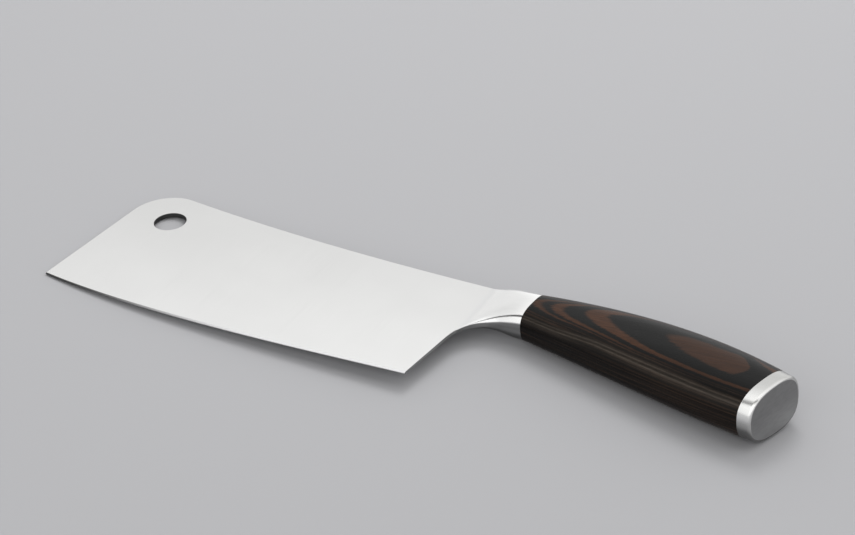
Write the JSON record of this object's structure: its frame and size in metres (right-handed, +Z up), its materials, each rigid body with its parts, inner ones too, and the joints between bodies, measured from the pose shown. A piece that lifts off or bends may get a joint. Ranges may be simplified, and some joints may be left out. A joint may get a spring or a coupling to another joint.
{
  "type": "kitchen cleaver",
  "caption": "Kitchen cleaver lying on its side: wide flat-ground blade with a round hang hole, forged steel bolster, laminated wood grip on a hidden tang, steel butt cap.",
  "frame": {"origin": "under the middle of the knife's bounding box, on the surface that the knife lies on", "axes": "+X from the blade's nose to the butt, +Y from the cutting edge to the spine, +Z up, across the blade; the blade is tilted about two degrees because the knife lies on its nose and on the swell of its grip"},
  "size_m": [0.3226, 0.0836, 0.0235],
  "materials": {
    "blade_steel": "fine satin",
    "bolster_steel": "polished",
    "cap_steel": "polished rim, satin end face",
    "tang_steel": "mill finish, hidden",
    "resin": "cured resin, hidden",
    "laminated_wood": "dyed layers, satin sealed"
  },
  "bodies": {
    "root": {"blade": "blade_steel", "bolster": "bolster_steel", "tang": "tang_steel", "tang_resin": "resin", "grip": "laminated_wood", "butt_cap": "cap_steel"}
  },
  "joints": []
}
